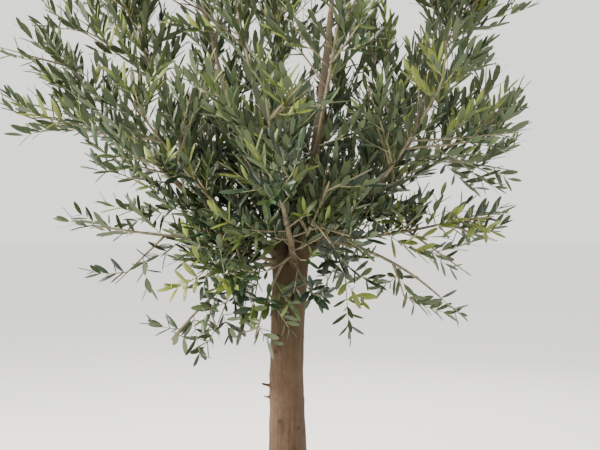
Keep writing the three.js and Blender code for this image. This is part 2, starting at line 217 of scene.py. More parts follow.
bloom = add_node(
    tree, "ShaderNodeMapRange", {"From Min": 0.53, "From Max": 0.75, "To Max": 0.45},
    {"Value": (bloom_sum, "Value")})
limed = add_node(
    tree, "ShaderNodeMix", {7: linear("927E69")},
    {0: (bloom, "Result"), 6: (fired, "Color")}, data_type="RGBA")
damp = add_node(
    tree, "ShaderNodeMapRange", {"From Max": DAMP_TOP, "To Min": 0.45, "To Max": 0.0},
    {"Value": (height, "Z")})
wet_foot = add_node(
    tree, "ShaderNodeMix", {7: linear("4E3122")},
    {0: (damp, "Result"), 6: (limed, 2)}, data_type="RGBA")
grit = add_node(
    tree, "ShaderNodeTexNoise", {"Scale": scale_for(GRIT)}, {"Vector": (place, "Object")})
rough_skin = add_node(
    tree, "ShaderNodeBump", {"Strength": 0.35, "Distance": 0.0012}, {"Height": (grit, "Fac")})
tree.links.new(wet_foot.outputs[2], shader.inputs["Base Color"])
tree.links.new(rough_skin.outputs["Normal"], shader.inputs["Normal"])
finish_piece(pot, "clay_pot", ["pot"], [terracotta])

# The potting compost: dark, loose and a little heaped towards the stem, filled to two fingers
# below the rim, with lumps of peat and bark lying on it.
SOIL_LEVEL = 438
SOIL_SIDES = 112
SOIL_RINGS = 31
RING_STEP = 8
CLEARANCE = 0.8
HEAP = 9
HEAP_SPREAD = 115
# how many to a metre, and how high
HUMPS, CRUMBS = (26, 5.5), (110, 2.2)
LUMPS = 620
LUMP_RADII = (2.2, 6.5)
soil_rim = wall_radius(SOIL_LEVEL) - POT_WALL - CLEARANCE
soil_foot = wall_radius(POT_FLOOR) - POT_WALL - CLEARANCE
bpy.ops.mesh.primitive_cylinder_add(
    vertices=SOIL_SIDES, radius=soil_foot * MM, depth=2 * MM,
    location=(0, 0, (POT_FLOOR + 1.3) * MM))
soil = bpy.context.object
bpy.ops.object.transform_apply()
pick(soil, "FACE", lambda face: face.normal.z > 0.9)
turn_up([(soil_foot, POT_FLOOR + 2.3), (soil_rim, SOIL_LEVEL)])
for ring in range(SOIL_RINGS):
    bpy.ops.mesh.inset(thickness=RING_STEP * MM)
bpy.ops.mesh.poke()
bpy.ops.object.mode_set(mode="OBJECT")


def heap_at(out):
    """How much higher the soil lies this far from the stem's foot."""
    return HEAP * math.exp(-(out / HEAP_SPREAD) ** 2)


for corner in soil.data.vertices:
    out = math.hypot(corner.co.x, corner.co.y) / MM
    if corner.co.z > (SOIL_LEVEL - 1) * MM and out < soil_rim - 3:
        rise = noise.fractal(corner.co * HUMPS[0], 1.0, 2.0, 3) * HUMPS[1]
        rise += noise.noise(corner.co * CRUMBS[0]) * CRUMBS[1]
        corner.co.z += (rise - 1.5 + heap_at(out)) * MM
bpy.ops.object.shade_smooth()


def seeded(seed):
    """Park and Miller's generator: the same seed always gives the same draws."""
    state = seed

    def draw(low, high):
        nonlocal state
        state = state * 16807 % 2147483647
        return low + (high - low) * state / 2147483647

    return draw


def shape_of(piece):
    """A modelled pattern's corners in mm, its triangles and their finishes; the pattern goes."""
    mesh = piece.data
    corners = np.empty(len(mesh.vertices) * 3)
    mesh.vertices.foreach_get("co", corners)
    faces = np.array([tuple(face.vertices) for face in mesh.polygons])
    finish = np.array([face.material_index for face in mesh.polygons])
    bpy.data.objects.remove(piece)
    return corners.reshape(-1, 3) / MM, faces, finish


def lay_copies(shape, copies):
    """
    One mesh of many copies of a shape, each with its own three axes, place and finish. Where the
    shape's own finish is 0 a face takes its copy's finish, and otherwise the one before its own.
    """
    corners, faces, finish = shape
    axes, places, finishes = (np.array(column) for column in zip(*copies))
    spots = np.einsum("vk,nkc->nvc", corners, axes) + places[:, None, :]
    meshes = faces[None, :, :] + (np.arange(len(places)) * len(corners))[:, None, None]
    mesh = bpy.data.meshes.new("copies")
    mesh.vertices.add(spots.shape[0] * spots.shape[1])
    mesh.vertices.foreach_set("co", (spots * MM).ravel())
    mesh.loops.add(meshes.size)
    mesh.loops.foreach_set("vertex_index", meshes.ravel())
    mesh.polygons.add(meshes.size // 3)
    mesh.polygons.foreach_set("loop_start", np.arange(meshes.size // 3) * 3)
    worn = np.where(finish[None, :] > 0, finish[None, :] - 1, finishes[:, None])
    mesh.polygons.foreach_set("material_index", worn.astype(np.int32).ravel())
    mesh.update(calc_edges=True)
    mesh.shade_smooth()
    mesh.set_sharp_from_angle(angle=math.radians(60))
    piece = bpy.data.objects.new("copies", mesh)
    bpy.context.collection.objects.link(piece)
    return piece


# The loose lumps are one small flattened pebble of peat, copied in all sizes and turns
bpy.ops.mesh.primitive_ico_sphere_add(subdivisions=1, radius=MM)
bpy.ops.object.mode_set(mode="EDIT")
bpy.ops.mesh.select_all(action="SELECT")
bpy.ops.transform.resize(value=(1.0, 0.72, 0.55))
bpy.ops.object.mode_set(mode="OBJECT")
lump = shape_of(bpy.context.object)
draw = seeded(4407)
copies = []
for k in range(LUMPS):
    out = math.sqrt(draw(0.085, 1)) * (soil_rim - 12)
    around = draw(0, 2 * math.pi)
    size = LUMP_RADII[0] + LUMP_RADII[1] * draw(0, 1) ** 3
    spin = np.linalg.qr(np.array([[draw(-1, 1) for j in range(3)] for i in range(3)]))[0]
    spin[2] *= np.sign(np.linalg.det(spin))
    height = SOIL_LEVEL + heap_at(out) + size * 0.1
    copies.append((spin * size, (out * math.cos(around), out * math.sin(around), height), 0))
lumps = lay_copies(lump, copies)
lumps.data.shade_flat()
bpy.ops.object.select_all(action="DESELECT")
lumps.select_set(True)
soil.select_set(True)
bpy.context.view_layer.objects.active = soil
bpy.ops.object.join()

# Peat compost, moist below and drying on top: nearly black lumps with paler fibres, no shine.
CRUMB_SIZE = 14.3
compost, tree, shader = new_finish(
    "peat_compost", {"Roughness": 0.96, "Specular IOR Level": 0.25})
place = add_node(tree, "ShaderNodeTexCoord")
lumpy = add_node(
    tree, "ShaderNodeTexNoise", {"Scale": scale_for(CRUMB_SIZE), "Detail": 5.0, "Roughness": 0.7},
    {"Vector": (place, "Object")})
dry = add_node(
    tree, "ShaderNodeValToRGB", links={"Fac": (lumpy, "Fac")},
    stops=[(0.32, "1E1610"), (0.70, "584331"), (0.52, "34271C")])
crumbs = add_node(
    tree, "ShaderNodeBump", {"Strength": 0.7, "Distance": 0.003}, {"Height": (lumpy, "Fac")})
tree.links.new(dry.outputs["Color"], shader.inputs["Base Color"])
tree.links.new(crumbs.outputs["Normal"], shader.inputs["Normal"])
finish_piece(soil, "potting_soil", ["soil"], [compost])

# The wood: one stem with a root flare, a slight lean and three lobes at its head where it was
# once cut back, two dead twigs on its left, and the boughs that have grown from the lobes.
GAP = 0.3
# height, lean to the right, radius
TRUNK_RINGS = [
    [SOIL_LEVEL + GAP, 6, 78], [451, 6, 70], [476, 6, 64.5], [518, 5, 61], [600, 4, 57.5],
    [700, 2, 54.5], [860, -2, 52], [1000, -5, 50], [1130, -3, 49], [1215, 1, 50.5],
    [1262, 3, 50], [1300, 5, 42], [1332, 6, 24],
]
LOBE_STEPS = 6
LOBES = {
    "left_lobe": ((-2, -8, 1225), (186, 180), (84, 78), 185, 84, 50),
    "right_lobe": ((10, -4, 1225), (-8, -8), (84, 77), 207, 88, 58),
    "back_lobe": ((4, 12, 1225), (95, 95), (82, 76), 178, 84, 50),
}
LOBE_DOME = [1, 1, 1, 1, 0.93, 0.76, 0.36]
# from, to, radius at each end
STUBS = [
    ((-38, -14, 978), (-79, -27, 990), 4.6, 2.2),
    ((-40, -10, 944), (-72, -20, 952), 4.0, 2.0),
]
# One row for a bough: what it grows from and where along it, its azimuth and rise at both
# ends, its length and diameters, then its foliage's reach, spread, upward turn and twigs.
BOUGHS = {
    "leader": ("right_lobe", 0.82, (10, 30), (80, 84), 680, 36, 17, 560, 305, 0, 5),
    "right_bough": ("right_lobe", 0.59, (8, 16), (32, 72), 700, 30, 14, 520, 285, 6, 5),
    "right_side": ("right_bough", 0.50, (-14, -8), (16, 24), 60, 15, 12, 400, 255, 18, 5),
    "right_low": ("right_bough", 0.16, (-24, -14), (-8, 6), 110, 15, 11, 430, 205, 14, 4),
    "right_top": ("right_bough", 0.66, (150, 128), (56, 66), 90, 14, 11, 430, 250, 8, 4),
    "front_right": ("right_bough", 0.24, (-54, -48), (28, 44), 190, 18, 12, 520, 285, 14, 5),
    "left_bough": ("left_lobe", 0.74, (186, 184), (26, 46), 430, 28, 15, 590, 270, 8, 5),
    "left_upper": ("left_bough", 0.45, (172, 176), (58, 68), 370, 18, 12, 550, 305, 4, 5),
    "left_top": ("left_lobe", 0.94, (176, 166), (68, 74), 550, 26, 13, 540, 305, 5, 5),
    "left_low": ("left_bough", 0.22, (214, 200), (-6, 4), 130, 14, 11, 430, 195, 8, 4),
    "droop_left": ("left_lobe", 0.58, (204, 194), (10, -38), 150, 14, 11, 340, 118, -16, 4),
    "droop_front": ("right_lobe", 0.69, (-112, -150), (10, -60), 90, 13, 11, 300, 105, -20, 4),
    "droop_right": ("right_lobe", 0.88, (-24, -12), (2, -18), 170, 14, 11, 370, 122, -34, 4),
    "front_bough": ("right_lobe", 0.45, (-95, -98), (26, 38), 240, 24, 13, 560, 290, 16, 5),
    "front_left": ("left_lobe", 0.70, (-138, -142), (24, 40), 230, 20, 12, 540, 285, 14, 5),
    "front_shoot": ("right_lobe", 0.89, (226, 214), (58, 76), 430, 16, 11, 540, 290, 0, 5),
    "front_top": ("leader", 0.30, (-84, -76), (34, 52), 240, 18, 12, 530, 290, 14, 5),
    "back_bough": ("back_lobe", 0.64, (90, 92), (28, 40), 240, 28, 14, 580, 290, 16, 5),
    "back_left": ("back_bough", 0.30, (150, 144), (34, 46), 240, 18, 12, 540, 285, 14, 5),
    "back_right": ("back_bough", 0.45, (30, 34), (34, 46), 230, 18, 12, 540, 285, 14, 5),
    "back_top": ("back_lobe", 0.90, (104, 92), (58, 64), 460, 26, 13, 540, 290, 8, 5),
    "back_right_top": ("back_top", 0.40, (28, 24), (46, 56), 150, 15, 11, 500, 270, 10, 4),
    "back_left_top": ("left_top", 0.42, (118, 124), (42, 54), 160, 15, 11, 500, 270, 10, 4),
    "heart_left": ("leader", 0.10, (182, 188), (30, 44), 70, 14, 11, 420, 240, 18, 4),
    "heart_front": ("right_lobe", 0.73, (-84, -76), (14, 24), 90, 13, 11, 400, 225, 18, 4),
    "heart_low": ("left_lobe", 0.62, (222, 228), (4, 14), 80, 13, 11, 380, 205, 18, 4),
    "heart_back": ("back_lobe", 0.72, (60, 66), (14, 24), 90, 13, 11, 400, 225, 18, 4),
}
LIMB_STEP = 110
UP = np.array((0.0, 0.0, 1.0))


def unit(v):
    return v / math.sqrt(v @ v)


def heading(azimuth, rise):
    a, r = math.radians(azimuth), math.radians(rise)
    return np.array((math.cos(a) * math.cos(r), math.sin(a) * math.cos(r), math.sin(r)))


def sweep(start, azimuth, rise, length, steps):
    """A centre line that turns evenly from one heading to another."""
    line = [np.array(start, float)]
    for i in range(steps):
        s = (i + 0.5) / steps
        towards = heading(
            azimuth[0] + (azimuth[1] - azimuth[0]) * s, rise[0] + (rise[1] - rise[0]) * s)
        line.append(line[-1] + towards * (length / steps))
    return line


def along(line, share):
    x = min(max(share, 0.0), 1.0) * (len(line) - 1)
    i = min(int(x), len(line) - 2)
    return line[i] + (line[i + 1] - line[i]) * (x - i)


def ahead(line, share):
    return unit(along(line, share + 0.05) - along(line, share - 0.05))


def crosswise(d):
    """A level direction square to d, or +X under an upright one."""
    if math.hypot(d[0], d[1]) < 0.05:
        return unit(np.array((1.0, 0.0, 0.0)) - d * d[0])
    return unit(np.array((-d[1], d[0], 0.0)))


def turned(v, axis, degrees):
    a = math.radians(degrees)
    return v * math.cos(a) + np.cross(axis, v) * math.sin(a) + axis * (axis @ v) * (1 - math.cos(a))


def tapered(butt, tip, steps):
    """The radii of an even taper, from the radius at both ends."""
    return [butt + (tip - butt) * i / steps for i in range(steps + 1)]


limbs = {}
for name, (start, azimuth, rise, length, butt, tip) in LOBES.items():
    line = sweep(start, azimuth, rise, length, LOBE_STEPS)
    limbs[name] = (line, tapered(butt / 2, tip / 2, LOBE_STEPS))
for name, (parent, at, azimuth, rise, length, butt, tip, *foliage) in BOUGHS.items():
    steps = max(2, math.floor(length / LIMB_STEP + 0.5))
    line = sweep(along(limbs[parent][0], at), azimuth, rise, length, steps)
    limbs[name] = (line, tapered(butt / 2, tip / 2, steps))
trunk_line = [np.array((x, 0.0, z)) for z, x, r in TRUNK_RINGS]
trunk_radii = [r for z, x, r in TRUNK_RINGS]

# All limbs are laid as round rods along their centre lines, a little thicker where they leave
# what they grow from, then grown together into one skin with soft forks.
SKIN_VOXEL = 3.3
ROD_STEP = 14
COLLAR = 0.30
COLLAR_LENGTH = 20
FULL_COLLAR_RADIUS = 14
SPOT_STEP = 20
WANDER = 2.6
SWELLING, SWELLING_STEP = 0.035, 17
bpy.ops.curve.primitive_nurbs_path_add()
wood = bpy.context.object
rods = wood.data
rods.splines.clear()
rods.bevel_depth = MM
rods.bevel_resolution = 10
rods.use_fill_caps = True
rods.resolution_u = 2


def lay_rod(line, radii):
    """Adds a rod of the wood along a line of points in mm."""
    rod = rods.splines.new("NURBS")
    rod.points.add(len(line) - 1)
    rod.points.foreach_set("co", [v for p in line for v in (*(p * MM), 1)])
    rod.points.foreach_set("radius", radii)
    rod.order_u = 3
    rod.use_endpoint_u = True
    rod.use_smooth = True


def stem_at(z):
    """Where the stem's centre line is at a height, and its radius there."""
    heights, leans, radii = zip(*TRUNK_RINGS)
    return np.array((np.interp(z, heights, leans), 0.0, z)), np.interp(z, heights, radii)


lay_rod([trunk_line[0] - UP * 9, *trunk_line], [trunk_radii[0] + 3, *trunk_radii])
rod_spots = [stem_at(z) for z in range(SOIL_LEVEL, TRUNK_RINGS[-1][0], SPOT_STEP)]
for name in LOBES:
    line, radii = limbs[name]
    rod_spots += zip(line, radii)
    lay_rod(line, [r * dome for r, dome in zip(radii, LOBE_DOME)])
for start, end, butt, tip in STUBS:
    ends = [np.array(start, float), np.array(end, float)]
    line = [along(ends, s) for s in (0, 0.3, 0.7, 1)]
    lay_rod(line, [butt * 1.8, butt * 1.3, (butt + tip) / 2 + 0.8, tip])
wander = seeded(311)
for name, bough in BOUGHS.items():
    line, radii = limbs[name]
    parent, at, length = bough[0], bough[1], bough[4]
    count = max(4, round(length / ROD_STEP))
    sunk = np.interp(at, (0, 1), (limbs[parent][1][0], limbs[parent][1][-1]))
    side = crosswise(ahead(line, 0.5))
    phase = wander(0, 6.28)
    finer, rounder = [], []
    for k in range(count + 1):
        s = k / count
        bend = math.sin(math.pi * s) * math.sin(s * length / 60 + phase) * min(WANDER, length / 90)
        finer.append(along(line, s) + side * bend)
        r = radii[0] + (radii[-1] - radii[0]) * s
        out = s * length - sunk
        rod_spots.append((finer[-1], r))
        collar = COLLAR * min(1, radii[0] / FULL_COLLAR_RADIUS)
        r *= 1 + collar * math.exp(-max(out, 0) / COLLAR_LENGTH) * (1 if out > -30 else 0.5)
        r *= 1 + SWELLING * math.sin(s * length / SWELLING_STEP + 2 * phase)
        rounder.append(r + 0.5)
    lay_rod(finer, rounder)
bpy.ops.object.convert(target="MESH")
wood = bpy.context.object
skin = wood.modifiers.new("skin", "REMESH")
skin.mode = "VOXEL"
skin.voxel_size = SKIN_VOXEL * MM
bpy.ops.object.modifier_apply(modifier=skin.name)
bpy.ops.object.mode_set(mode="EDIT")
bpy.ops.mesh.select_all(action="SELECT")
bpy.ops.mesh.vertices_smooth(factor=0.5, repeat=3)
bpy.ops.mesh.select_all(action="DESELECT")
bpy.ops.object.mode_set(mode="OBJECT")

# The bark's relief: long low flutes and ripples that run up the stem, knots where side twigs
# were rubbed off, ribs over the roots at its foot, and small lumps on the boughs.
# Each of the stem's has how far it stands out, and how wide and how long it is.
STEM_RELIEF = {"flutes": (3.4, 27, 310), "ripples": (1.3, 9, 85), "swells": (1.6, 60, 55)}
LUMP_RELIEF = [(0.35, 7.5), (0.45, 19)]
STEM_RELIEF_TOP, STEM_RELIEF_FADE = 1345, 60
STEM_RELIEF_REACH, REACH_FADE = 110, 25
ROOT_RIBS_TOP, ROOT_RIBS_FADE, ROOT_RIBS = 520, 80, 3.25
# Shares of a knot's size and height: its dark scar, which also paints the shade in its dent,
# and the dent in its middle
SCAR_SHADE_SPREAD, DENT_SPREAD, DENT_DEPTH = 0.42, 0.45, 0.75
THIN_RADIUS, STOUT_RADIUS = 5.5, 10.5
# azimuth, height, size, how far it stands out
KNOTS = [
    (-110, 887, 15, 3.6), (-52, 866, 12, 2.8), (-128, 1084, 14, 3.0), (-80, 1168, 11, 2.4),
    (-62, 742, 17, 3.2), (-140, 650, 16, 3.0), (20, 930, 14, 3.0), (95, 1040, 15, 3.4),
    (150, 830, 13, 2.8), (70, 690, 16, 3.2), (-20, 1120, 12, 2.6), (-172, 1010, 10, 2.6),
    (200, 1190, 13, 3.0), (60, 1200, 14, 2.8), (-95, 560, 18, 3.0),
]
knot_spots = []
for azimuth, z, size, stand in KNOTS:
    centre, r = stem_at(z)
    knot_spots.append((Vector(centre + heading(azimuth, 0) * r), size, stand))
corners = np.empty(len(wood.data.vertices) * 3)
outward = np.empty(len(wood.data.vertices) * 3)
wood.data.vertices.foreach_get("co", corners)
wood.data.vertex_normals.foreach_get("vector", outward)
points = (corners / MM).reshape(-1, 3)
# Each point's share of a thin limb's paler bark, from how thick the limbs nearest to it are
slender = np.zeros(len(points))
near = np.full(len(points), 1e-9)
for spot, r in rod_spots:
    weight = np.exp(-np.maximum(np.sqrt(((points - spot) ** 2).sum(1)) - r, 0) / 5)
    slender += weight * min(max((STOUT_RADIUS - r) / (STOUT_RADIUS - THIN_RADIUS), 0), 1)
    near += weight
slender /= near
# Each point's share of a knot's dark scar, which also paints the shade in the knot's dent
moves, scars_and_shade = [], []
for spot in points:
    spot = Vector(spot)
    from_axis = math.hypot(spot.x, spot.y)
    stem_share = min(max((STEM_RELIEF_TOP - spot.z) / STEM_RELIEF_FADE, 0), 1)
    stem_share *= min(max((STEM_RELIEF_REACH - from_axis) / REACH_FADE, 0), 1)
    move = sum(noise.noise(spot / size) * stand for stand, size in LUMP_RELIEF)
    scar_and_shade = 0.0
    if stem_share > 0:
        stem_move = sum(
            noise.noise(Vector((spot.x / wide, spot.y / wide, spot.z / long))) * stand
            for stand, wide, long in STEM_RELIEF.values())
        stem_move += move * 0.7
        for centre, size, stand in knot_spots:
            away = (spot - centre).length / size
            if away < 3:
                scar_and_shade = max(scar_and_shade, math.exp(-(away / SCAR_SHADE_SPREAD) ** 2))
                dent = math.exp(-(away / DENT_SPREAD) ** 2)
                stem_move += stand * (math.exp(-away * away) - DENT_DEPTH * dent)
        flare = max(0, ROOT_RIBS_TOP - spot.z) / ROOT_RIBS_FADE
        around = math.atan2(spot.y, spot.x - TRUNK_RINGS[0][1])
        ribs = math.sin(around * 5 + 0.7) + 0.6 * math.sin(around * 3 - 1)
        stem_move += flare ** 2 * ROOT_RIBS * ribs
        move = move * (1 - stem_share) + stem_move * stem_share
    moves.append(move * MM)
    scars_and_shade.append(scar_and_shade)
corners += outward * np.repeat(moves, 3)
wood.data.vertices.foreach_set("co", corners)
wood.data.attributes.new("scar_and_shade", "FLOAT", "POINT").data.foreach_set("value", scars_and_shade)
wood.data.attributes.new("slender", "FLOAT", "POINT").data.foreach_set("value", slender)
wood.data.update()
bpy.ops.object.shade_smooth()

# Young olive bark: brown and nearly smooth on the stem, with fine upright streaks, a thin green
# film of algae in the crown's shade, and greyer and paler on high and thin limbs. It is dull.
# How wide its patterns are in mm, then at what heights in m the boughs' grey comes in and
# where the crown's shade lies
STREAK, GREY_PATCH, FLECK = 8.33, 58.8, 6.06
BOUGH_GREY = {"From Min": 1.34, "From Max": 1.58, "To Max": 0.7}
CROWN_SHADE = {"From Min": 0.96, "From Max": 1.56}
bark, tree, shader = new_finish(
    "young_olive_bark", {"Roughness": 0.82, "Specular IOR Level": 0.3})
place = add_node(tree, "ShaderNodeTexCoord")
upright = add_node(
    tree, "ShaderNodeMapping", {"Scale": (1.0, 1.0, 0.11)}, {"Vector": (place, "Object")})
stretched = add_node(
    tree, "ShaderNodeMapping", {"Scale": (1.0, 1.0, 0.45)}, {"Vector": (place, "Object")})
streaks = add_node(
    tree, "ShaderNodeTexNoise", {"Scale": scale_for(STREAK), "Detail": 6.0, "Roughness": 0.66},
    {"Vector": (upright, "Vector")})
streaked = add_node(
    tree, "ShaderNodeValToRGB", links={"Fac": (streaks, "Fac")},
    stops=[(0.30, "38281A"), (0.72, "57412D"), (0.50, "453223")])
patches = add_node(
    tree, "ShaderNodeTexNoise", {"Scale": scale_for(GREY_PATCH), "Detail": 3.0, "Roughness": 0.6},
    {"Vector": (place, "Object")})
patchy = add_node(
    tree, "ShaderNodeMapRange", {"From Min": 0.42, "From Max": 0.68, "To Max": 0.5},
    {"Value": (patches, "Fac")})
flecks = add_node(
    tree, "ShaderNodeTexNoise", {"Scale": scale_for(FLECK), "Detail": 3.0, "Roughness": 0.7},
    {"Vector": (stretched, "Vector")})
flecked = add_node(
    tree, "ShaderNodeMapRange", {"From Min": 0.54, "From Max": 0.68, "To Max": 0.6},
    {"Value": (flecks, "Fac")})
height = add_node(tree, "ShaderNodeSeparateXYZ", links={"Vector": (place, "Object")})
on_boughs = add_node(tree, "ShaderNodeMapRange", BOUGH_GREY, {"Value": (height, "Z")})
under_crown = add_node(tree, "ShaderNodeMapRange", CROWN_SHADE, {"Value": (height, "Z")})
shaded = add_node(
    tree, "ShaderNodeValToRGB", links={"Fac": (under_crown, "Result")},
    stops=[(0.0, "000000"), (1.0, "000000"), (0.52, "AEAEAE")])
thin_limb = add_node(tree, "ShaderNodeAttribute", attribute_name="slender")
# The knots' dark scars: partly real scar, partly painted shade in their dents
scar_and_dent_shade = add_node(tree, "ShaderNodeAttribute", attribute_name="scar_and_shade")
# Laid one over another: grey patches, dark flecks, weather, algae, thin bark and the knots' dark
# scars, which also paint the shade in their dents
colour = (streaked, "Color")
for tone, mask in (
        ("574836", (patchy, "Result")), ("35271B", (flecked, "Result")),
        ("6F6657", (on_boughs, "Result")), ("3A3619", (shaded, "Color")),
        ("71674F", (thin_limb, "Fac")), ("2B1E14", (scar_and_dent_shade, "Fac"))):
    layer = add_node(
        tree, "ShaderNodeMix", {7: linear(tone)}, {0: mask, 6: colour}, data_type="RGBA")
    colour = (layer, 2)
ridges = add_node(
    tree, "ShaderNodeBump", {"Strength": 0.4, "Distance": 0.0018}, {"Height": (streaks, "Fac")})
tree.links.new(layer.outputs[2], shader.inputs["Base Color"])
tree.links.new(ridges.outputs["Normal"], shader.inputs["Normal"])
wood_nodes = ["trunk", *(f"{name}_limb" for name in BOUGHS)]
finish_piece(wood, "trunk_and_boughs", wood_nodes, [bark])

# The crown's skeleton: every bough runs on as a stem inside its own mass of foliage, and twigs
# and leafy shoots branch from it by one seeded rule, away from limbs and other masses.
STEM_STEPS = 4
STEM_SHARE = 0.72
STEM_TIP = 5.2
TWIG_BUTT = 3.9
TWIG_LIFT = 0.22
CELL_GAP = 1.5
SPRAY_LENGTH = 158
SPRAY_WIDEST = 0.44
SPRAY_LIFT = 0.35
GOLDEN_TURN = 137.5
FIRST_SEED, SEED_STEP = 1000, 37
FINE_SEED, FINE_SEED_STEP = 7001, 53
# The source's own twigs and shoots, then the finer ones between them, then the leafy twigs
# that stand on the limbs themselves
STEM_FACTS = {
    "step": 80, "stem_sprays": 4, "width": 50, "room": 50, "gap": CELL_GAP, "butt": TWIG_BUTT,
    "sizes": (0.8, 1.12), "end_sizes": (0.8, 1.1),
}
FINE_FACTS = {
    **STEM_FACTS, "step": 50, "stem_sprays": 10, "width": 26, "room": 25, "gap": 0.5, "butt": 3.3,
}
SPROUT_FACTS = {
    **FINE_FACTS, "step": 60, "butt": 3.0, "sizes": (0.5, 0.85), "end_sizes": (0.6, 0.9),
}
# How many finer twigs a mass gets for each of the source's
FINE_TWIGS = 1.6
OTHER_FINE_TWIGS = {
    "heart_left": 1.3, "heart_front": 1.2, "heart_low": 2.0, "heart_back": 1.3, "right_low": 0.6,
    "left_bough": 1.2, "front_left": 1.0, "back_left": 1.0, "front_right": 0.8, "back_right": 0.9,
    "front_bough": 1.0, "back_bough": 1.2, "right_side": 1.2,
    "front_top": 0.5, "front_shoot": 0.5, "leader": 0.8, "left_top": 0.8, "back_top": 0.9,
    "back_right_top": 0.9, "back_left_top": 0.9, "left_low": 0, "droop_left": 0, "droop_front": 0,
    "droop_right": 0,
}

# How far past the source's box a leaf may reach
OVERHANG = 14
reach_low = np.array(cad_low) / MM - OVERHANG
reach_high = np.array(cad_high) / MM + OVERHANG
# The leafy twigs of the head and of the crown's top, which belong to no mass
head = {"lines": [], "shoots": []}
tops = {"lines": [], "shoots": []}
lengths = []


def add_lengths(owner, line, radii):
    """Notes a limb's straight lengths, which twigs and shoots keep clear of."""
    for i in range(len(line) - 1):
        lengths.append((owner, line[i], line[i + 1], radii[i], radii[i + 1]))


add_lengths("trunk", trunk_line, trunk_radii)
for name, (line, radii) in limbs.items():
    add_lengths(name, line, radii)
masses = {}
for name, bough in BOUGHS.items():
    turn, rise = bough[2][1], bough[3][1]
    tip, reach, spread, curl, twigs = bough[6:]
    root = limbs[name][0][-1] + heading(turn, rise) * GAP
    whole = sweep(root, (turn, turn), (rise, rise + curl), reach, STEM_STEPS)
    stem = sweep(root, (turn, turn), (rise, rise + curl * 0.75), reach * STEM_SHARE, STEM_STEPS)
    radii = tapered(tip / 2, STEM_TIP, STEM_STEPS)
    end = whole[-1]
    masses[name] = {
        "stem": stem, "radii": radii, "centre": (root + end) / 2, "axis": unit(end - root),
        "half": math.dist(end, root) / 2 * 1.02, "spread": float(spread), "twigs": twigs,
        "number": len(masses), "lines": [], "shoots": [],
    }
    add_lengths(name + "_stem", stem, radii)
owners, froms, tos, thick, thin = (np.array(column) for column in zip(*lengths))
centres = np.array([mass["centre"] for mass in masses.values()])
spreads = np.array([mass["spread"] for mass in masses.values()])


def inside(mass, p, share=1.0, gap=CELL_GAP):
    """True where p lies in the mass's own space, an ellipsoid less its neighbours' shares."""
    if mass is head or mass is tops:
        return bool((p > reach_low).all() and (p < reach_high).all())
    f = p - mass["centre"]
    a = f @ mass["axis"]
    across = f @ f - a * a
    if (a / (mass["half"] * share)) ** 2 + across / (mass["spread"] * share) ** 2 > 1:
        return False
    lead = f @ f - mass["spread"] ** 2 - ((p - centres) ** 2).sum(1) + spreads ** 2
    far = np.sqrt(((mass["centre"] - centres) ** 2).sum(1))
    taken = lead > -2 * gap * far
    taken[mass["number"]] = False
    return not taken.any()


def clear_of_limbs(owner, start, end, room):
    """True where a straight length stays clear of every limb but its owner's."""
    u, v, w = end - start, tos - froms, start - froms
    uu, uv, vv = u @ u, v @ u, (v * v).sum(1)
    uw, vw = w @ u, (v * w).sum(1)
    det = uu * vv - uv * uv
    s = np.where(
        det > 1e-9 * uu * vv, np.clip((uv * vw - vv * uw) / np.where(det == 0, 1, det), 0, 1), 0.0)
    t = (uv * s + vw) / vv
    held = np.clip(t, 0, 1)
    s = np.where(t != held, np.clip((uv * held - uw) / uu, 0, 1), s)
    apart = start + u * s[:, None] - froms - v * held[:, None]
    near = np.sqrt((apart ** 2).sum(1)) < thick + (thin - thick) * held + room
    return not (near & (owners != owner)).any()


def add_shoot(mass, name, root, way, length, draw, facts):
    """A leafy shoot, shortened or left out where it would leave its space or touch a limb."""
    roll = draw(0, 360)
    for share in (1, 0.8, 0.62):
        size = length * share
        end = root + way * size
        middle = root + way * (size * SPRAY_WIDEST)
        side = turned(crosswise(way), way, roll)
        half = facts["width"] / 2 * share
        early = root + way * 25
        reaches = (end, middle + side * half, middle - side * half)
        if not all(inside(mass, p, gap=facts["gap"]) for p in reaches):
            continue
        if not clear_of_limbs(name + "_stem", early, end, half):
            continue
        if not clear_of_limbs("", middle, end, half):
            continue
        if any(math.dist(other["middle"], middle) <= facts["room"] for other in mass["shoots"]):
            continue
        mass["shoots"].append(
            {"root": root, "middle": middle, "side": side, "way": way, "size": size})
        return


def leaning(onward, side, degrees, lift):
    """A direction that leans from a twig's own towards one side, and up to the light."""
    lean = math.radians(degrees)
    return unit(onward * math.cos(lean) + side * math.sin(lean) + UP * lift)


def dress(held, name, twig, turn, shares, draw, facts):
    """Sets shoots along a twig and one at its end; a twig that gets none isn't kept."""
    before = len(held["shoots"])
    last = unit(twig[2] - twig[1])
    for k, share in enumerate(shares):
        root = along(twig, share)
        across = turned(crosswise(last), last, 180 * k + draw(-60, 60) + turn)
        way = leaning(last, across, draw(32, 52), SPRAY_LIFT)
        add_shoot(held, name, root, way, SPRAY_LENGTH * draw(*facts["sizes"]), draw, facts)
    root = twig[2] - last * 4
    way = unit(last + UP * SPRAY_LIFT)
    add_shoot(held, name, root, way, SPRAY_LENGTH * draw(*facts["end_sizes"]), draw, facts)
    if len(held["shoots"]) > before:
        held["lines"].append((twig, facts["butt"]))


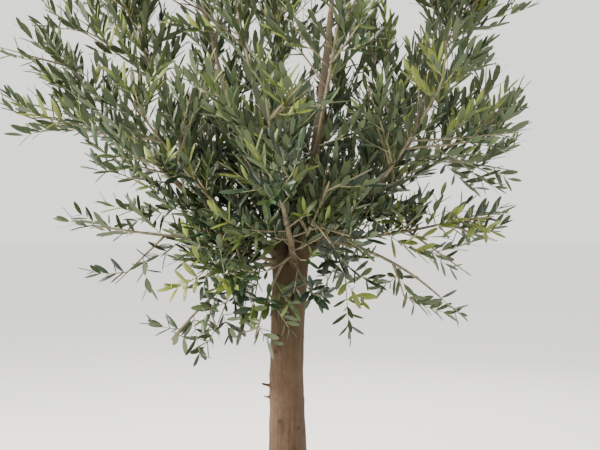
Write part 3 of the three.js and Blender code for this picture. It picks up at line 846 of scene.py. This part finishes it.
def grow(name, seed, twigs, facts):
    """Grows one mass's twigs and shoots; the order of the draws is part of the rule."""
    mass = masses[name]
    own = name + "_stem"
    draw = seeded(seed)
    turn = draw(0, 360)
    for i in range(twigs):
        share = 0.06 + 0.9 * (i + 0.5) / twigs
        base = along(mass["stem"], share)
        onward = ahead(mass["stem"], share)
        turn += GOLDEN_TURN + draw(-15, 15)
        side = turned(crosswise(onward), onward, turn)
        way = leaning(onward, side, draw(48, 62), TWIG_LIFT)
        length = mass["spread"] * draw(0.75, 1.05)
        line = None
        for attempt in range(5):
            end = base + way * length
            middle = base + (end - base) * 0.5 - side * (0.06 * length) - UP * (0.05 * length)
            early = base + (middle - base) * 0.25
            fits = inside(mass, end, 0.92) and inside(mass, middle) and inside(mass, early)
            if fits and clear_of_limbs(own, early, middle, TWIG_BUTT + 1) \
                    and clear_of_limbs(own, middle, end, TWIG_BUTT + 1):
                line = [base, middle, end]
                break
            length *= 0.78
        if line is None:
            continue
        count = max(2, math.floor(length / facts["step"] + 0.5))
        shares = (0.18 + 0.72 * (k + draw(0.2, 0.8)) / count for k in range(count))
        dress(mass, name, line, turn, shares, draw, facts)
    for k in range(facts["stem_sprays"]):
        share = 0.1 + 0.85 * (k + 0.5) / facts["stem_sprays"]
        root = along(mass["stem"], share)
        onward = ahead(mass["stem"], share)
        across = turned(crosswise(onward), onward, draw(0, 360))
        way = leaning(onward, across, draw(35, 60), SPRAY_LIFT)
        add_shoot(mass, name, root, way, SPRAY_LENGTH * draw(0.8, 1.1), draw, facts)
    onward = ahead(mass["stem"], 1)
    add_shoot(mass, name, mass["stem"][-1] - onward * 4, onward, SPRAY_LENGTH * 1.05, draw, facts)


def sprout(held, name, line, seed, bare, step, long, heights):
    """Thin leafy twigs straight from a limb or a stem past its bare share, held by no mass."""
    length = sum(math.dist(a, b) for a, b in zip(line, line[1:]))
    draw = seeded(seed)
    turn = draw(0, 360)
    for k in range(int(length * (1 - bare) / step)):
        share = bare + (k + draw(0.2, 0.8)) * step / length
        base = along(line, share)
        onward = ahead(line, share)
        turn += GOLDEN_TURN + draw(-25, 25)
        side = turned(crosswise(onward), onward, turn)
        way = leaning(onward, side, draw(45, 75), TWIG_LIFT)
        reach = long * draw(0.6, 1.1)
        end = base + way * reach
        middle = base + (end - base) * 0.5 - side * (0.05 * reach) - UP * (0.06 * reach)
        early = base + (middle - base) * 0.4
        if not (clear_of_limbs(name, early, middle, 3) and clear_of_limbs("", middle, end, 4)):
            continue
        if not heights[0] < base[2] < heights[1] or not inside(held, end):
            continue
        count = max(1, round(reach / SPROUT_FACTS["step"]))
        shares = [0.3 + 0.6 * n / count for n in range(count)]
        dress(held, name, [base, middle, end], turn, shares, draw, SPROUT_FACTS)


for k, name in enumerate(BOUGHS):
    grow(name, FIRST_SEED + SEED_STEP * k, masses[name]["twigs"], STEM_FACTS)
    finer = OTHER_FINE_TWIGS.get(name, FINE_TWIGS)
    if finer:
        grow(name, FINE_SEED + FINE_SEED_STEP * k, round(masses[name]["twigs"] * finer), FINE_FACTS)

# The head's own leafy twigs stand thick on the lobes and on the boughs' lower lengths, and the
# top's on the highest stems, where they round the crown off. A step is mm from twig to twig.
HEAD_HEIGHTS, TOPS_HEIGHTS = (0, 1680), (2050, 2600)
LOBE_SEED, BOUGH_SEED, TOPS_SEED, SPROUT_SEED_STEP = 5003, 5903, 8101, 71
LOBE_TWIG, BOUGH_TWIG, TOPS_TWIG = 170, 150, 250
LOBE_BARE, BOUGH_BARE, TOPS_BARE = 0.55, 40, 0.15
LOBE_STEP, BOUGH_STEP = 15, 46
BOUGH_STEPS = {
    "heart_low": 10, "left_low": 15, "droop_left": 15, "left_bough": 22, "left_upper": 36,
    "left_top": 36, "front_bough": 15, "front_shoot": 40, "right_bough": 26, "front_right": 22,
    "droop_right": 20,
}
TOPS_STEPS = {
    "right_bough": 18, "right_top": 26, "leader": 30, "left_top": 34, "back_top": 34,
    "back_right_top": 34, "left_upper": 34,
}
for k, name in enumerate(LOBES):
    seed = LOBE_SEED + SPROUT_SEED_STEP * k
    sprout(head, name, limbs[name][0], seed, LOBE_BARE, LOBE_STEP, LOBE_TWIG, HEAD_HEIGHTS)
for k, (name, bough) in enumerate(BOUGHS.items()):
    seed = BOUGH_SEED + SPROUT_SEED_STEP * k
    bare = min(0.9, BOUGH_BARE / bough[4])
    step = BOUGH_STEPS.get(name, BOUGH_STEP)
    sprout(head, name, limbs[name][0], seed, bare, step, BOUGH_TWIG, HEAD_HEIGHTS)
for k, (name, step) in enumerate(TOPS_STEPS.items()):
    line, seed = masses[name]["stem"], TOPS_SEED + SPROUT_SEED_STEP * k
    sprout(tops, name + "_stem", line, seed, TOPS_BARE, step, TOPS_TWIG, TOPS_HEIGHTS)


def lay_twigs(rods):
    """One mesh of many thin closed rods, each a line, a radius at each point and its sides."""
    corners, faces = [], []
    for line, radii, sides in rods:
        base = len(corners)
        last = len(line) - 1
        side = None
        for i, p in enumerate(line):
            d = unit(line[min(i + 1, last)] - line[max(i - 1, 0)])
            side = crosswise(d) if side is None else unit(side - d * (side @ d))
            other = np.cross(d, side)
            for k in range(sides):
                a = 2 * math.pi * k / sides
                corners.append((p + (side * math.cos(a) + other * math.sin(a)) * radii[i]) * MM)
        for i in range(last):
            ring = base + i * sides
            for k in range(sides):
                n = (k + 1) % sides
                faces.append((ring + k, ring + n, ring + sides + n, ring + sides + k))
        faces.append(tuple(base + k for k in reversed(range(sides))))
        faces.append(tuple(base + last * sides + k for k in range(sides)))
    mesh = bpy.data.meshes.new("twigs")
    mesh.from_pydata(corners, [], faces)
    mesh.update()
    mesh.shade_smooth()
    piece = bpy.data.objects.new("twigs", mesh)
    bpy.context.collection.objects.link(piece)
    return piece


def smooth_line(line, count):
    """More points on the same line, with its corners rounded off."""
    points = [along(line, k / count) for k in range(count + 1)]
    for _ in range(2):
        inner = [(a + b * 2 + c) / 4 for a, b, c in zip(points, points[1:], points[2:])]
        points = [points[0], *inner, points[-1]]
    return points


stems = []
for name, mass in masses.items():
    line = smooth_line([limbs[name][0][-1], *mass["stem"]], 14)
    butt = mass["radii"][0] + 0.4
    stems.append((line, tapered(butt, 2.6, 14), 8))
    for twig, butt in mass["lines"]:
        stems.append((smooth_line(twig, 6), tapered(butt, 1.5, 6), 5))
for twig, butt in head["lines"] + tops["lines"]:
    stems.append((smooth_line(twig, 5), tapered(butt, 1.4, 5), 5))
stem_piece = lay_twigs(stems)

# Twigs of the last two or three years: thin greenish-grey bark that is smoother than the
# boughs' and has a faint sheen.
MOTTLE = 22.2
twig_bark, tree, shader = new_finish("thin_twig_bark", {"Roughness": 0.7})
place = add_node(tree, "ShaderNodeTexCoord")
mottle = add_node(
    tree, "ShaderNodeTexNoise", {"Scale": scale_for(MOTTLE), "Detail": 3.0},
    {"Vector": (place, "Object")})
twig_tone = add_node(
    tree, "ShaderNodeValToRGB", links={"Fac": (mottle, "Fac")},
    stops=[(0.34, "5A5140"), (0.68, "857B5F")])
tree.links.new(twig_tone.outputs["Color"], shader.inputs["Base Color"])
foliage_nodes = [f"{name}_foliage" for name in BOUGHS]
finish_piece(stem_piece, "stems_and_twigs", foliage_nodes, [twig_bark])

# The shoots of the year: thin soft stems, and on them pairs of narrow leathery leaves, each pair
# set square to the one before. The leaf pattern is a slender blade with a fold along its midrib.
# Its outline is a width at each share of its length, for a leaf that is one long and one wide.
LEAF_T = [0.0, 0.12, 0.36, 0.64, 0.88, 1.0]
LEAF_W = [0.10, 0.50, 0.95, 1.00, 0.62, 0.0]
LEAF_ARCH = 0.12
LEAF_RIDGE = 0.034
# The leaves' plain colours and roughness, from old to fresh, and last the underside's
LEAF_COLOURS = [
    ("glossy_leaf_deep", "1A2B17", 0.34), ("glossy_leaf_dark", "263A1C", 0.36),
    ("leathery_leaf_olive", "40501E", 0.40), ("fresh_leaf_yellow_green", "6E7A2E", 0.42),
    ("downy_underleaf_silver", "424F31", 0.60),
]
bpy.ops.mesh.primitive_cylinder_add(
    vertices=3, radius=1, depth=1, rotation=(math.radians(-90), 0, 0), location=(0, 0.5, 0))
leaf = bpy.context.object
bpy.ops.object.transform_apply()
for corner in leaf.data.vertices:
    x = round(corner.co.x)
    t, w = (LEAF_T[1], LEAF_W[1]) if corner.co.y > 0.5 else (LEAF_T[0], LEAF_W[0])
    corner.co = (x * w / 2, t, -LEAF_ARCH * t * t + (0 if x else LEAF_RIDGE))
pick(leaf, "FACE", lambda face: all(v.co.y > 0.05 for v in face.verts))
for t0, w0, t1, w1 in zip(LEAF_T[1:], LEAF_W[1:], LEAF_T[2:], LEAF_W[2:]):
    drop = -LEAF_ARCH * (t1 * t1 - t0 * t0)
    bpy.ops.mesh.extrude_region_move(TRANSFORM_OT_translate={"value": (0, t1 - t0, drop)})
    centre = (0, t1, -LEAF_ARCH * t1 * t1)
    if w1:
        bpy.ops.transform.resize(value=(w1 / w0, 1, 1), center_override=centre)
    else:
        bpy.ops.mesh.merge(type="CENTER")
bpy.ops.mesh.select_all(action="SELECT")
bpy.ops.mesh.normals_make_consistent(inside=False)
bpy.ops.mesh.quads_convert_to_tris()
bpy.ops.object.mode_set(mode="OBJECT")
for face in leaf.data.polygons:
    face.material_index = len(LEAF_COLOURS) if face.normal.z < 0 else 0
blade_corners, *blade_faces = shape_of(leaf)
blade = (blade_corners * MM, *blade_faces)

LEAF_GROUPS = {
    "leaves_right": [
        "right_bough", "right_side", "right_low", "right_top", "front_right", "droop_right"],
    "leaves_left": ["left_bough", "left_upper", "left_low", "droop_left"],
    "leaves_front": ["front_bough", "front_left", "front_shoot", "droop_front", "front_top"],
    "leaves_back": ["back_bough", "back_left", "back_right", "back_top"],
    "leaves_heart": ["heart_low", "heart_left", "heart_front", "heart_back", "head"],
    "leaves_top": ["leader", "left_top", "back_right_top", "back_left_top", "tops"],
}
# Olive leaves: waxed and leathery above, deep green when old and yellow-green when fresh, with a
# soft gloss, and dull grey-green down beneath. Each is one plain colour, dealt out by shoot.
leaf_finishes = [
    new_finish(name, {
        "Base Color": linear(colour), "Roughness": dullness, "Specular IOR Level": 0.5})[0]
    for name, colour, dullness in LEAF_COLOURS]
# Where a leaf's age, from 0 for old to 1 for fresh, with painted shade deep in the crown and
# painted light at its top added in, passes from each of the colours to the next
AGE_LIGHT_AND_SHADE_STEPS = (0.25, 0.56, 0.86)
# Leaves near this heart of the crown get the older, darker colours, as painted shade as well as age
OLD_SHADED_HEART = np.array((0.0, 0.0, 1470.0))
OLD_SHADED_HEART_RADIUS = 430
# How far past its stem's end a shoot's last leaves reach, and how far the stem sags
LEAVES_PAST = 32
SHOOT_SAG = 0.14
PAIR_STEP = (19, 26)
LEAF_LENGTH = (43, 63)
LEAF_SLENDER = (0.23, 0.32)
LEAF_LEAN = (32, 62)
LEAF_LIFT = (0.05, 0.42)

# From in front the leader shows over its upper two thirds, and so do the two front lobes' tops:
# a point on the wood, then how far to its side and above and below it no leaf hangs before it
EYE = np.array((34.8, -2200.0, 1443.5))
bare_fronts = [(along(limbs["leader"][0], share), 15, 55) for share in (0.45, 0.6, 0.75, 0.9, 1)]
for name in ("left_lobe", "right_lobe"):
    bare_fronts += [(along(limbs[name][0], share), 27, 22) for share in (0.45, 0.62, 0.79)]


def hides_wood(p):
    """True for a leaf that hangs straight before the wood that shows from in front."""
    for spot, beside, above in bare_fronts:
        seen = EYE + (p - EYE) * (spot[1] - EYE[1]) / (p[1] - EYE[1])
        if p[1] < spot[1] and abs(seen[0] - spot[0]) < beside and abs(seen[2] - spot[2]) < above:
            return True
    return False


fine = seeded(977)
shoot_stems = []
holders = {"head": head, "tops": tops, **masses}
for group, names in LEAF_GROUPS.items():
    copies = []
    for name in names:
        for shoot in holders[name]["shoots"]:
            d, length, root, side = shoot["way"], shoot["size"], shoot["root"], shoot["side"]
            # The crown's top is a little thinner, and its leaves longer, slimmer and more upright
            if fine(0, 1) < min(0.08, max(0, (root[2] - 1600) / 1200)):
                continue
            high = min(max((root[2] - 1300) / 450, 0), 1)
            age = fine(0, 1)
            stem = length - LEAVES_PAST
            pairs = max(3, int(stem / fine(*PAIR_STEP)))
            sag = -SHOOT_SAG * length
            grown, hidden = [], 0
            for n in range(pairs + 1):
                t = 0.10 + 0.90 * n / pairs
                p = root + d * (stem * t) + UP * (sag * t * (1 - t))
                side = turned(side, d, 90 + fine(-14, 14))
                for sign in (1, -1):
                    lean = fine(*LEAF_LEAN) - 20 * t - 8 * high
                    way = leaning(d, side * sign, lean, fine(*LEAF_LIFT) + 0.2 * high)
                    near_tip = 1.0 if t < 0.75 else 1.25 - 0.45 * t
                    size = (fine(*LEAF_LENGTH) + 8 * high) * near_tip
                    if (p + way * size < reach_low).any() or (p + way * size > reach_high).any():
                        continue
                    x = unit(np.cross(way, d * 0.9 + UP * 0.55 + side * fine(-0.3, 0.3)))
                    wide = size * (fine(*LEAF_SLENDER) - 0.06 * high)
                    arch = size * fine(0.4, 1.6)
                    # Older and darker inside the crown, partly as painted shade; fresher towards
                    # the shoots' tips;
                    # fresher and lighter towards the crown's top, partly as painted light
                    inner = max(0, 1 - math.dist(p, OLD_SHADED_HEART) / OLD_SHADED_HEART_RADIUS)
                    freshness_light_and_shade = age + fine(-0.14, 0.14) + 0.14 * (p[2] - 1500) / 500 + 0.14 * (t - 0.5)
                    freshness_light_and_shade += 0.08 - 0.5 * inner
                    if hides_wood(p + way * (size / 2)):
                        hidden += 1
                        continue
                    kind = sum(freshness_light_and_shade > step for step in AGE_LIGHT_AND_SHADE_STEPS)
                    axes = (x * wide, way * size, np.cross(x, way) * arch)
                    grown.append((axes, p + way * 1.5, kind))
            # A shoot that would lose most of its leaves isn't grown
            if hidden > len(grown):
                continue
            stem_line = [root, root + d * stem * 0.5 + UP * sag * 0.25, root + d * stem]
            shoot_stems.append((stem_line, [1.5, 1.2, 0.7], 4))
            copies += grown
    leaves = lay_copies(blade, copies)
    group_nodes = [f"{name}_foliage" for name in names if name in masses]
    finish_piece(leaves, group, group_nodes, leaf_finishes)

# The shoots' stems: soft pale green skin with a faint bloom, much the same all over.
shoot_piece = lay_twigs(shoot_stems)
green_stem = new_finish("green_shoot_skin", {"Base Color": linear("8F8C62"), "Roughness": 0.6})[0]
finish_piece(shoot_piece, "leafy_shoots", foliage_nodes, [green_stem])

# The studio: a pale plain floor, a soft bright surround, and a camera at eye height that looks
# level at the head of the stem from 2.2 m.
FLOOR_RADIUS = 60
bpy.ops.mesh.primitive_circle_add(
    vertices=96, radius=FLOOR_RADIUS, fill_type="NGON", location=(0, 0, -0.0005))
floor = bpy.context.object
floor.name = "studio_floor"
floor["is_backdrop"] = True
# Matt white paint, even and without a shine.
paint = new_finish("matt_floor_paint", {"Base Color": linear("F2F2F1"), "Roughness": 0.9})[0]
floor.data.materials.append(paint)
surround = bpy.data.worlds.new("soft_surround")
bpy.context.scene.world = surround
surround.use_nodes = True
sky = surround.node_tree.nodes["Background"]
sky.inputs["Color"].default_value = (1.0, 0.985, 0.95, 1)
sky.inputs["Strength"].default_value = 1.6
# place and size in m, power in W
LAMPS = {
    "key_light": ((-4.2, -1.1, 3.3), 2.2, 760),
    "fill_light": ((4.0, -2.2, 2.6), 3.0, 25),
    "back_light": ((1.4, 4.2, 3.8), 3.0, 170),
}
for name, (place, size, power) in LAMPS.items():
    bpy.ops.object.light_add(type="AREA", location=place)
    lamp = bpy.context.object
    lamp.name = name
    lamp.data.size = size
    lamp.data.energy = power
    lamp.data.color = (1.0, 0.95, 0.86)
    aim = Vector((0, 0, 1.4)) - Vector(place)
    lamp.rotation_euler = aim.to_track_quat("-Z", "Y").to_euler()

PHOTO_WIDTH = 600
MM_PER_PIXEL = 2.9
SENSOR_WIDTH = 36
bpy.ops.object.camera_add(location=EYE * MM, rotation=(math.radians(90), 0, 0))
camera = bpy.context.object
camera.data.sensor_width = SENSOR_WIDTH
camera.data.lens = SENSOR_WIDTH * -EYE[1] / (PHOTO_WIDTH * MM_PER_PIXEL)
bpy.context.scene.camera = camera

low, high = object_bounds()
